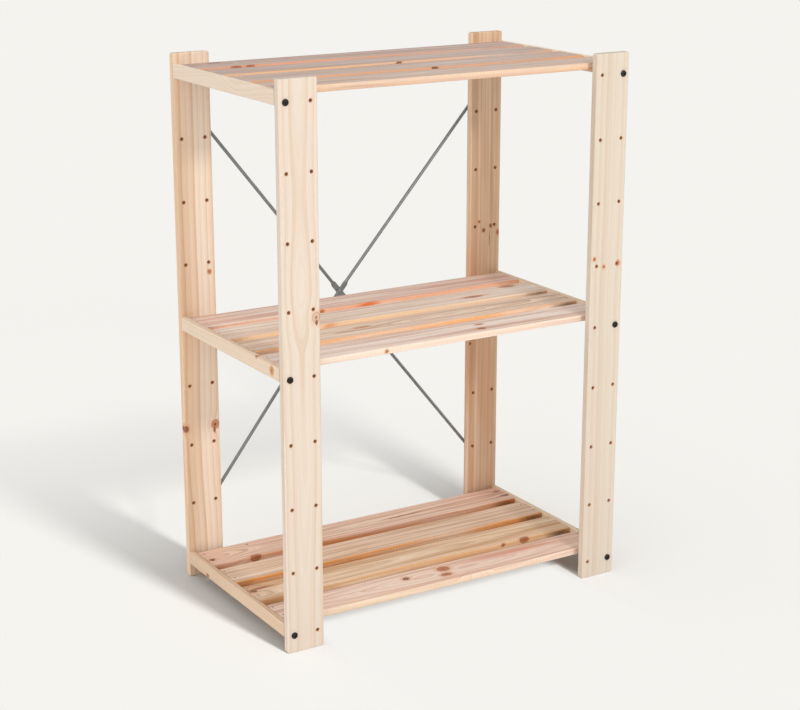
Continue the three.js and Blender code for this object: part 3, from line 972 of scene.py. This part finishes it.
def paintedGapShade(share):
    # painted shade: the front edge darkens towards its right end, where the gap meets the rail
    return spot((356, -42, -1), (46, 5, 10), "5A381C", share=share)


# each slat's deep colour is painted shade, laid on the lower part of its long edges
slatBoards = {
    # the top slats are toned darker and greyer than the others: painted shade for the dimmer light on the
    # top deck
    "top_1": {
        "seed": 21.0, "early": "DAC6B8", "late": "AA836C", "blush": "CDB2A8",
        "edge": "EBCBAA", "deep": "DFA478",
        "ring": 9.0, "pithDepth": [(0.0, 46.0), (1.0, 40.0)],
        "streaks": [spot((200, 2, 7), (22, 1.6, 6), "8C7468")],
    },
    "top_2": {
        "seed": 22.0, "early": "D5C2B6", "late": "A6816C", "blush": "C9B0A8",
        "edge": "E2A87C", "deep": "C98A5E", "edgeShare": 1.0,
        "ring": 8.0, "pithDepth": [(0.0, 36.0), (1.0, 42.0)],
        "knots": [spot((23, -40, 3), (7, 5, 6), dark, halo=2.4, push=4.0, rim=0.7)],
        "streaks": [spot((156, 30, 7), (20, 1.6, 6), "8C7468")],
    },
    "top_3": {
        "seed": 23.0, "early": "D3C2B7", "late": "A6836F", "blush": "C7B0A9",
        "edge": "E6B88E", "deep": "C98A5E", "edgeShare": 1.0,
        "ring": 8.6, "pithDepth": [(0.0, 42.0), (1.0, 36.0)],
        "knots": [spot((6, -40, 3), (6, 5, 6), dark, halo=2.2, push=4.0, rim=0.7)],
    },
    "top_4": {
        "seed": 24.0, "early": "D2BFB4", "late": "A47B68", "blush": "C9ACA4",
        "edge": "E0A482", "deep": "C98A5E", "edgeShare": 1.0,
        "ring": 7.6, "pithDepth": [(0.0, 30.0), (0.2, 40.0), (1.0, 44.0)],
        "knots": [
            spot((-314, 24, 7), (13, 6, 8), "4B2F33", halo=1.8, rim=0.8),
            spot((-298, -40, 2), (11, 6, 8), "A4543A"),
            spot((-268, -40, 2), (9, 6, 8), "A4543A"),
        ],
    },
    # the middle and bottom slats are toned near white: painted light that makes up for the dimmer light
    # under the shelves above
    "middle_1": {
        "seed": 31.0, "early": "FBEEE3", "late": "CE9F84", "blush": "F0D4C6",
        "edge": "F3DCC6", "deep": "E6C2A2", "edgeShare": 0.8,
        "ring": 7.0, "pithDepth": [(0.0, 46.0), (1.0, 40.0)],
        "knots": [
            spot((82, -19, 7), (10, 5.5, 8), "8A4526", push=3.0),
            spot((95, 9, 7), (9, 4.5, 8), "9C5A38", push=2.0, share=0.6),
            spot((-150, -40, -1), (4, 4, 3.6), red, halo=2.2, push=2.0),
        ],
    },
    "middle_2": {
        "seed": 32.0, "early": "F9E6D3", "late": "B67F54", "blush": "E6C2A6",
        "edge": "F3B67E", "deep": "EA9A58", "edgeShare": 1.0,
        "ring": 7.0, "lean": 0.03,
        "pithDepth": [(0.0, 34.0), (0.35, 27.0), (0.62, 13.0), (0.82, 24.0), (1.0, 36.0)],
        "knots": [spot((-117, 7, 7), (16, 5, 10), "C8A383", halo=2.2, push=4.0, share=0.5)],
        "streaks": [paintedGapShade(0.75)],
    },
    "middle_3": {
        "seed": 33.0, "early": "FBEEE2", "late": "CEA27C", "blush": "F0D6C6",
        "edge": "F3D0A4", "deep": "EA9A58",
        "ring": 8.0, "pithDepth": [(0.0, 44.0), (1.0, 40.0)],
        "knots": [
            spot((208, -11, 7), (22, 6, 10), "A85424", halo=2.2, share=0.75),
            spot((320, 28, 7), (17, 8, 10), "B8662E", share=0.7),
        ],
        "streaks": [spot((-156, -40, 2), (22, 6, 8), "E0935A"), paintedGapShade(0.65)],
    },
    "middle_4": {
        "seed": 34.0, "early": "F9E7DA", "late": "CA9074", "blush": "EECABC",
        "edge": "EFB08A", "deep": "EA9A58",
        "ring": 7.0, "pithDepth": [(0.0, 40.0), (1.0, 34.0)],
        "knots": [spot((-116, -40, 2), (6, 4, 4), "D06B3A", halo=2.2, push=2.0)],
        "streaks": [spot((-5, -40, 2), (40, 7, 9), "E07434", share=0.9)],
    },
    "bottom_1": {
        "seed": 41.0, "early": "F8E2D2", "late": "D09C80", "blush": "F0CAB8",
        "edge": "F0D8BC", "deep": "E4BE96",
        "ring": 9.0, "pithDepth": [(0.0, 40.0), (0.5, 22.0), (1.0, 40.0)],
        "knots": [
            spot((-75.5, 9, 7), (7.0, 6.0, 10), dark, halo=2.6, push=4.0, rim=0.8),
            spot((16, 13, 7), (13, 10, 12), "BE5A24", halo=2.2, push=6.0, rim=0.6),
            spot((7, -14, 7), (12, 6.5, 10), "B85522", halo=2.2, rim=0.5),
            spot((62, -36, 7), (17, 10, 14), push=24.0, spread=1.6, share=0.0, rim=0.0, haloShare=0.0),
        ],
        "streaks": [spot((190, 18, 7), (190, 13, 9), "D98F74", share=0.75)],
    },
    "bottom_2": {
        "seed": 42.0, "early": "F5DCC0", "late": "BE8A58", "blush": "E6BE9A",
        "edge": "E8B57E", "deep": "C2712F",
        "ring": 6.6, "pithDepth": [(0.0, 12.0), (0.12, 30.0), (1.0, 44.0)],
        "knots": [
            spot((257, -40, 3), (11, 6, 7), "A8501C", push=4.0, rim=0.7),
            spot((202, -41, 2), (5, 4, 4), "8C4E2C", push=2.0),
            spot((-370, 8, 7), (7, 5, 10), dark, halo=2.6, push=7.0, rim=0.8),
            spot((-345, 2, 7), (34, 15, 20), push=22.0, spread=1.7, share=0.0, rim=0.0, haloShare=0.0),
        ],
        "streaks": [spot((-352, 16, 7), (44, 8, 9), "A04A2C", share=0.85), paintedGapShade(0.85)],
    },
    "bottom_3": {
        "seed": 43.0, "early": "F6E0CA", "late": "C08E64", "blush": "E8C4A6",
        "edge": "EC9C52", "deep": "C2712F", "edgeShare": 1.0,
        "ring": 6.2, "pithDepth": [(0.0, 40.0), (1.0, 46.0)],
        "streaks": [spot((-70, -20, 7), (15, 1.5, 6), "8E7A66"), paintedGapShade(0.8)],
    },
    "bottom_4": {
        "seed": 44.0, "early": "F6DCC8", "late": "C18866", "blush": "EAB8A2",
        "edge": "DB9462", "deep": "C2712F", "edgeShare": 1.0,
        "ring": 7.4, "pithDepth": [(0.0, 26.0), (0.2, 40.0), (1.0, 34.0)],
        "knots": [
            spot((-281, -39, 3), (12, 6, 8), "A04E2C", push=6.0, rim=0.6),
            spot((-369, -11, 7), (7, 4.5, 8), dark, push=3.0),
            spot((-269, 27, 7), (3, 2.4, 8), dark, halo=1.8, push=1.0),
            spot((372, -14, 7), (14, 5, 10), "6E4A48"),
            spot((366, 16, 7), (10, 3.5, 10), "7C4A3C", push=3.0),
        ],
        "streaks": [spot((97, -2, 7), (76, 5.0, 10), "A85A2A", share=0.95), paintedGapShade(0.6)],
    },
}


def makeBrad():
    # punched brad with a small flat head, modelled at the origin and pointing down
    settings = bradSettings
    radius, head = settings["shankRadius"] * mm, settings["headRadius"] * mm
    top, foot = -settings["headHeight"] * mm, -settings["length"] * mm
    brad = startRound(radius, (0, 0, foot), (settings["length"] - settings["headHeight"]) * mm, "z", 12)
    editMode()
    pick("FACE", capAt(2, top))
    steps = [(head * share, rise * mm) for share, rise in settings["headSteps"]]
    growCap((0, 0, top), Vector((0, 0, 1)), radius, steps)
    pick("FACE", capAt(2, foot))
    growCap((0, 0, foot), Vector((0, 0, -1)), radius, [(radius * 0.1, settings["point"] * mm)])
    objectMode()
    return brad


def makeDent():
    # tapered dent round a brad's head, with its floor at the origin
    settings = slatSettings
    deep = settings["dentDepth"] * mm
    dent = startRound(settings["dentFoot"] * mm, (0, 0, 0), deep, "z", 20)
    editMode()
    pick("FACE", capAt(2, deep))
    wide = settings["dentTop"] / settings["dentFoot"]
    bpy.ops.transform.resize(value=(wide, wide, 1), center_override=(0, 0, deep))
    bpy.ops.mesh.extrude_region_move(TRANSFORM_OT_translate={"value": (0, 0, overshoot)})
    objectMode()
    return dent


def clearOfBolt(x, y, shelf, side):
    # a brad over a bolt goes further in, past the barrel nut
    gap = (bradSettings["shankRadius"] + bradSettings["clear"]) * mm
    for end in ("front", "rear"):
        corner = "_".join((shelf, end, side))
        boltLow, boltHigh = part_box("bolt_" + corner)
        nutLow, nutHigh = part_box("barrel_nut_" + corner)
        if boltLow.y - gap < y < boltHigh.y + gap:
            x = max(x, nutHigh.x + gap) if side == "left" else min(x, nutLow.x - gap)
    return x


def makeSlats():
    settings = slatSettings
    low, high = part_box("slat_bottom_1")
    plain = startBlock(low, high)
    editMode()
    pick("EDGE", lambda e: runsAlong(e, 0))
    bevel(settings["easing"] * mm, settings["steps"])
    pick("EDGE", lambda e: liesAt(e, 0, low.x) or liesAt(e, 0, high.x))
    bevel(settings["endEasing"] * mm, 2)
    objectMode()
    brad, dent = makeBrad(), makeDent()
    chance = random.Random(5)
    for place, board in slatBoards.items():
        node = "slat_" + place
        boxLow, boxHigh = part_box(node)
        slat = copyPiece(plain, Matrix.Translation(boxLow - low))
        middle = (boxLow.y + boxHigh.y) / 2
        dents, brads = [], []
        for side, edge, way in (("left", boxLow.x, 1), ("right", boxHigh.x, -1)):
            for row, inset in zip(settings["bradRows"], settings["bradIn"][side]):
                x = edge + way * (inset + chance.uniform(-1, 1) * settings["bradJitter"][0]) * mm
                y = middle + (row + chance.uniform(-1, 1) * settings["bradJitter"][1]) * mm
                x = clearOfBolt(x, y, place.split("_")[0], side)
                stretch = Matrix.Diagonal((chance.uniform(*settings["dentStretch"]), 1, 1, 1))
                foot = Matrix.Translation((x, y, boxHigh.z - settings["dentDepth"] * mm))
                head = Matrix.Translation((x, y, boxHigh.z - bradSettings["sunk"] * mm))
                dents.append(copyPiece(dent, foot @ stretch))
                brads.append(copyPiece(brad, head))
        for cutter in dents:
            carve(slat, cutter)
        smoothOver(slat)
        pine = makePine("pine_" + node, "slat", node, {**slatShared, **board})
        handOver(slat, "pine_" + node, pine, node)
        nailed = joinAll(brads)
        smoothOver(nailed)
        handOver(nailed, "brads_" + place, metals["bradSteel"])
    for pattern in (plain, brad, dent):
        discard(pattern)
    print("slats made:", len(slatBoards))


makeSlats()

# bolts: button heads with a hexagon socket, on a shank that ends in a chamfer

boltSettings = {
    "shankRadius": 3.0, "length": 58.0, "gap": 0.3, "chamfer": 0.8,
    "headRadius": 6.5, "headHeight": 3.6, "rim": 0.8, "crownRadius": 2.9, "underIn": 0.3, "underUp": 0.2,
    "socketRadius": 2.31, "socketDepth": 2.2, "coneRadius": 0.3, "coneDepth": 0.7,
    "domeSteps": 7, "sides": 48,
}


def makeBolts():
    settings = inMetres(boltSettings)
    # modelled as a rear bolt at the origin: head towards +Y, the post's face at Y = 0
    length, gap, radius = settings["length"], settings["gap"], settings["shankRadius"]
    shank = length - settings["chamfer"] + gap
    bolt = startRound(radius, (0, gap - shank, 0), shank, "y", settings["sides"])
    editMode()
    up, down = Vector((0, 1, 0)), Vector((0, -1, 0))
    pick("FACE", capAt(1, gap - shank))
    growCap((0, gap - shank, 0), down, radius, [(radius - settings["chamfer"], settings["chamfer"])])
    pick("FACE", capAt(1, gap))
    head = settings["headRadius"]
    rim, under = settings["rim"], settings["underUp"]
    steps = [(head - settings["underIn"], 0.0), (head, under), (head, rim - under)]
    steps += domeSteps(head, settings["crownRadius"], settings["headHeight"] - rim, settings["domeSteps"])
    growCap((0, gap, 0), up, radius, steps)
    objectMode()
    crown = gap + settings["headHeight"]
    floor = crown - settings["socketDepth"]
    hexagon = settings["socketRadius"]
    socket = startRound(hexagon, (0, floor, 0), settings["socketDepth"] + overshoot, "y", 6)
    editMode()
    pick("FACE", capAt(1, floor))
    growCap((0, floor, 0), down, hexagon, [(settings["coneRadius"], settings["coneDepth"])])
    objectMode()
    carve(bolt, socket)
    smoothOver(bolt, 32)
    bolts = nodesNamed("bolt_")
    for count, node in enumerate(bolts):
        low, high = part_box(node)
        middle = (low + high) / 2
        if "_front_" in node:
            seat = Vector((middle.x, low.y + crown, middle.z))
            matrix = Matrix.Translation(seat) @ Matrix.Rotation(math.pi, 4, "Z")
        else:
            matrix = Matrix.Translation((middle.x, high.y - crown, middle.z))
        turn = Matrix.Rotation(0.37 * count, 4, "Y")  # no two sockets stop at the same angle
        handOver(copyPiece(bolt, matrix @ turn), "black_" + node, metals["blackOxide"], node)
    discard(bolt)
    print("bolts made:", len(bolts))


makeBolts()

# barrel nuts: turned, bored across and slotted underneath

nutSettings = {
    "radius": 5.0, "length": 12.0, "bore": 3.3, "slotWidth": 1.4, "slotDepth": 1.0, "chamfer": 0.4,
}


def makeNuts():
    settings = inMetres(nutSettings)
    radius, length = settings["radius"], settings["length"]
    nut = startRound(radius, (0, 0, 0), length, "z", 40)
    editMode()
    pick("EDGE", lambda e: liesAt(e, 2, 0.0) or liesAt(e, 2, length))
    bevel(settings["chamfer"], 2)
    objectMode()
    carve(nut, startRound(settings["bore"], (0, -2 * radius, length / 2), 4 * radius, "y", 32))
    wide = settings["slotWidth"] / 2
    carve(nut, startBlock((-wide, -2 * radius, -overshoot), (wide, 2 * radius, settings["slotDepth"])))
    smoothOver(nut)
    nuts = nodesNamed("barrel_nut_")
    for node in nuts:
        low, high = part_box(node)
        middle = (low + high) / 2
        place = Matrix.Translation((middle.x, middle.y, low.z))
        handOver(copyPiece(nut, place), "zinc_" + node, metals["zincPlate"], node)
    discard(nut)
    print("barrel nuts made:", len(nuts))


makeNuts()

# cross-brace: round rods pressed flat at the eyes and where they cross, with a rivet and four screws

rodSettings = {
    "radius": 3.5, "plane": 229.775, "sides": 32,
    "crossing": (-10, 570),
    "eyeWidth": 14.0, "eyeThick": 3.0, "eyeTaper": 12.0, "eyeBore": 2.4, "eyeBack": -2.0,
    "pressWidth": 12.5, "pressThick": 3.2, "pressLength": 40.0, "pressTaper": 9.0, "pressOff": 1.75,
    "rivetBore": 2.8, "boreReach": 10.0,
    "taperShares": (0.35, 0.7, 1.0), "eyeAngles": (0, 20, 40, 60, 75, 86),
    "fixings": {
        "upper_left": (-350.5, 996), "upper_right": (350.5, 981),
        "lower_left": (-350.5, 127), "lower_right": (350.5, 128),
    },
    "rods": {
        "brace_rod_front": ("upper_right", "lower_left", -1),
        "brace_rod_rear": ("upper_left", "lower_right", 1),
    },
}


def easeOver(share):
    return share * share * (3 - 2 * share)


def makeHalfRod(length, offset):
    # from the crossing outwards along +X, at the origin; rings are extruded station by station
    settings = inMetres(rodSettings)
    radius = settings["radius"]
    deselectAll()
    start = settings["pressLength"] / 2
    bpy.ops.mesh.primitive_circle_add(vertices=settings["sides"], radius=radius, location=(start, 0, 0),
                                      rotation=turns["x"])
    applyPlace()
    half = bpy.context.object
    editMode()
    bpy.ops.mesh.select_all(action="SELECT")
    eye = settings["eyeWidth"] / 2
    thin = settings["eyeThick"] / 2
    stations = [(start, settings["pressWidth"] / 2, settings["pressThick"] / 2, offset)]
    for share in settings["taperShares"]:
        ease = easeOver(share)
        width = settings["pressWidth"] / 2 + (radius - settings["pressWidth"] / 2) * ease
        thick = settings["pressThick"] / 2 + (radius - settings["pressThick"] / 2) * ease
        stations.append((start + settings["pressTaper"] * share, width, thick, offset * (1 - ease)))
    away = length - eye - settings["eyeTaper"]
    for share in (0.0, *settings["taperShares"]):
        ease = easeOver(share)
        wide, thick = radius + (eye - radius) * ease, radius + (thin - radius) * ease
        stations.append((away + settings["eyeTaper"] * share, wide, thick, settings["eyeBack"] * ease))
    for angle in settings["eyeAngles"]:
        turn = math.radians(angle)
        stations.append((length + eye * math.sin(turn), eye * math.cos(turn), thin, settings["eyeBack"]))
    at, wide, thick, off = start, radius, radius, 0.0
    for count, (newAt, newWide, newThick, newOff) in enumerate(stations):
        if count:
            travel = (newAt - at, newOff - off, 0)
            bpy.ops.mesh.extrude_region_move(TRANSFORM_OT_translate={"value": travel})
        else:
            bpy.ops.transform.translate(value=(0, newOff, 0))
        size = (1, newThick / thick, newWide / wide)
        bpy.ops.transform.resize(value=size, center_override=(newAt, newOff, 0))
        at, wide, thick, off = newAt, newWide, newThick, newOff
    bpy.ops.mesh.edge_face_add()
    # the pressed parts are flattened: their crowns are brought to the sheet's two faces
    for first, last, level, flat in ((start - 1e-4, start + 1e-4, offset, settings["pressThick"] / 2),
                                     (length - eye - 1e-4, length + 2 * eye, settings["eyeBack"], thin)):
        for side in (1, -1):
            pick("VERT", lambda v: first < v.co.x < last and side * (v.co.y - level) > 0.45 * flat)
            bpy.ops.transform.resize(value=(1, 0, 1), center_override=(0, level + side * flat, 0))
    objectMode()
    return half


def makeRods():
    settings = rodSettings
    plane, reach = settings["plane"] * mm, settings["boreReach"] * mm
    crossing = Vector((settings["crossing"][0] * mm, plane, settings["crossing"][1] * mm))
    for node, (upper, lower, side) in settings["rods"].items():
        halves = []
        for corner in (upper, lower):
            x, z = settings["fixings"][corner]
            span = Vector((x * mm, plane, z * mm)) - crossing
            half = makeHalfRod(span.length, side * settings["pressOff"] * mm)
            turn = Matrix.Rotation(math.atan2(-span.z, span.x), 4, "Y")
            half.data.transform(Matrix.Translation(crossing) @ turn)
            halves.append(half)
        rod = joinAll(halves)
        editMode()
        pick("EDGE", lambda e: e.is_boundary)
        bpy.ops.mesh.bridge_edge_loops()
        bpy.ops.mesh.select_all(action="SELECT")
        bpy.ops.mesh.normals_make_consistent(inside=False)
        objectMode()
        for corner in (upper, lower):
            x, z = settings["fixings"][corner]
            start = (x * mm, plane - reach, z * mm)
            carve(rod, startRound(settings["eyeBore"] * mm, start, 2 * reach, "y", 24))
        start = crossing - Vector((0, reach, 0))
        carve(rod, startRound(settings["rivetBore"] * mm, start, 2 * reach, "y", 24))
        smoothOver(rod, 40)
        handOver(rod, "steel_" + node, metals["rodSteel"], node)
    print("rods made:", len(settings["rods"]))


makeRods()

rivetSettings = {"radius": 2.5, "headRadius": 5.0, "headHeight": 2.0, "crown": 0.6, "grip": 7.3, "steps": 6}
screwSettings = {
    "radius": 2.1, "length": 15.3, "tip": 4.2, "gap": 0.3,
    "headRadius": 4.5, "headHeight": 2.6, "crown": 1.2, "underEasing": 0.2, "steps": 6,
    "crossWidth": 0.9, "crossReach": 2.4, "crossDepth": 1.5,
}


def makeRivet():
    settings = inMetres(rivetSettings)
    grip, radius = settings["grip"], settings["radius"]
    low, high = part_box("brace_rivet")
    centre = (low + high) / 2
    rivet = startRound(radius, centre - Vector((0, grip / 2, 0)), grip, "y", 40)
    editMode()
    dome = domeSteps(settings["headRadius"], settings["crown"], settings["headHeight"], settings["steps"])
    for way in (-1, 1):
        end = centre + Vector((0, way * grip / 2, 0))
        pick("FACE", capAt(1, end.y))
        growCap(end, Vector((0, way, 0)), radius, [(settings["headRadius"], 0.0)] + dome)
    objectMode()
    smoothOver(rivet, 40)
    handOver(rivet, "steel_brace_rivet", metals["rodSteel"], "brace_rivet")
    print("rivet made")


def makeScrews():
    settings = inMetres(screwSettings)
    radius, gap, head = settings["radius"], settings["gap"], settings["headRadius"]
    shank = settings["length"] - settings["tip"] + gap
    screw = startRound(radius, (0, gap - shank, 0), shank, "y", 32)
    editMode()
    pick("FACE", capAt(1, gap - shank))
    growCap((0, gap - shank, 0), Vector((0, -1, 0)), radius, [(0.0002, settings["tip"])])
    pick("FACE", capAt(1, gap))
    rim = settings["headHeight"] / 3
    under = settings["underEasing"]
    steps = [(head - under, 0.0), (head, under), (head, rim - under)]
    steps += domeSteps(head, settings["crown"], settings["headHeight"] - rim, settings["steps"])
    growCap((0, gap, 0), Vector((0, 1, 0)), radius, steps)
    objectMode()
    top = gap + settings["headHeight"]
    wide, reach, depth = settings["crossWidth"] / 2, settings["crossReach"], settings["crossDepth"]
    carve(screw, startBlock((-wide, top - depth, -reach), (wide, top + overshoot, reach)))
    carve(screw, startBlock((-reach, top - depth, -wide), (reach, top + overshoot, wide)))
    smoothOver(screw, 32)
    screws = nodesNamed("brace_screw_")
    for count, node in enumerate(screws):
        low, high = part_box(node)
        middle = (low + high) / 2
        seat = Matrix.Translation((middle.x, high.y - top, middle.z))
        turn = Matrix.Rotation(0.5 + 0.7 * count, 4, "Y")  # each slot stops at its own angle
        handOver(copyPiece(screw, seat @ turn), "steel_" + node, metals["zincPlate"], node)
    discard(screw)
    print("screws made:", len(screws))


makeRivet()
makeScrews()
